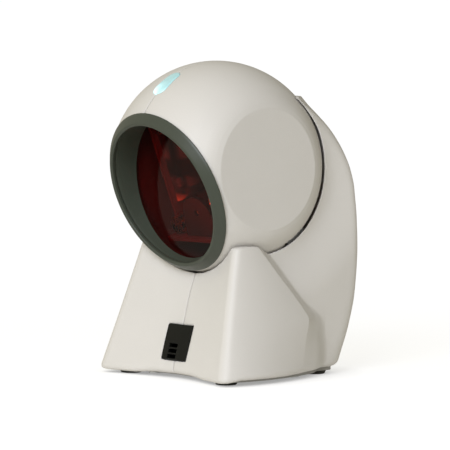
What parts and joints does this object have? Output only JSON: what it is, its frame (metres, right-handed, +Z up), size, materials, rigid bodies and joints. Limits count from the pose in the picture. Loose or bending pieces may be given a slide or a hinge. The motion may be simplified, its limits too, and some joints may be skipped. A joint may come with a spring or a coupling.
{
  "type": "presentation barcode scanner",
  "caption": "Upright hands-free counter scanner: a ball head with a round red window and dark ring tilts in a flared two-half base with a front button.",
  "frame": {"origin": "on the counter, under the middle of the whole object's box at rest", "axes": "+Z up from the counter, -Y the side the window faces, +X the object's left as it faces the goods"},
  "size_m": [0.1018, 0.1053, 0.1498],
  "materials": {
    "cream_plastic": "fine even mould texture, satin",
    "black_plastic": "moulded, matt",
    "grey_plastic": "moulded, matt",
    "button_plastic": "moulded, satin black",
    "ring_plastic": "satin dark grey-green",
    "bench_plastic": "glass-filled, matt",
    "natural_plastic": "unfilled bearing plastic",
    "red_window": "clear red filter pane, polished",
    "lamp_lens": "translucent light pipe, pale cyan when lit",
    "black_rubber": "matt",
    "zinc_steel": "zinc plated",
    "spring_steel": "bright spring steel",
    "cast_weight": "as cast, oiled",
    "die_cast": "die cast, bead blasted",
    "brass": "turned",
    "dark_metal": "black painted can",
    "circuit_board": "green solder resist",
    "copper_wire": "enamelled copper winding",
    "cable_jacket": "soft jacket",
    "mirror": "front-coated glass",
    "mirror_back": "dark back, mirrored face"
  },
  "bodies": {
    "base": {"base_shell_left": "cream_plastic", "base_shell_right": "cream_plastic", "base_plate": "grey_plastic", "rubber_feet": "black_rubber", "base_screws": "zinc_steel", "fixing_inserts": "brass", "ballast_weight": "cast_weight", "interface_board": "circuit_board", "cable_socket": "black_plastic", "speaker": "dark_metal", "switch_board": "circuit_board", "tilt_yoke": "die_cast", "yoke_screws": "zinc_steel", "pivot_bushes": "natural_plastic", "tilt_cable": "cable_jacket"},
    "button": {"function_button": "button_plastic"},
    "head": {"head_shell_left": "cream_plastic", "head_shell_right": "cream_plastic", "window_ring": "ring_plastic", "scan_window": "red_window", "lamp_lens": "lamp_lens", "lamp_board": "circuit_board", "optical_bench": "bench_plastic", "bench_screws": "zinc_steel", "collecting_mirror": "mirror_back", "laser_module": "brass", "fold_mirror": "mirror", "detector_board": "circuit_board", "left_mirror": "mirror", "right_mirror": "mirror", "rear_mirror": "mirror", "motor_board": "circuit_board", "motor_coils": "copper_wire", "motor_bearing": "brass", "main_board": "circuit_board", "head_screws": "zinc_steel", "pivot_screws": "zinc_steel", "pivot_washers": "zinc_steel", "friction_washers": "spring_steel", "head_cable": "cable_jacket"},
    "spinner": {"motor_shaft": "zinc_steel", "polygon_mirror": "mirror"}
  },
  "joints": [
    {"name": "head_tilt", "type": "hinge", "parent": "base", "child": "head", "pos_m": [0, -0.0066, 0.09933], "axis": [-1, 0, 0], "range_deg": [0, 30]},
    {"name": "button_press", "type": "slide", "parent": "base", "child": "button", "axis": [0, 0.9598, -0.2807], "range_m": [0, 0.0007], "stiffness_N_per_m": 900},
    {"name": "polygon_spin", "type": "hinge", "parent": "head", "child": "spinner", "pos_m": [0, 0.00656, 0.08722], "axis": [0, -0.3551, 0.9348], "continuous": true}
  ]
}
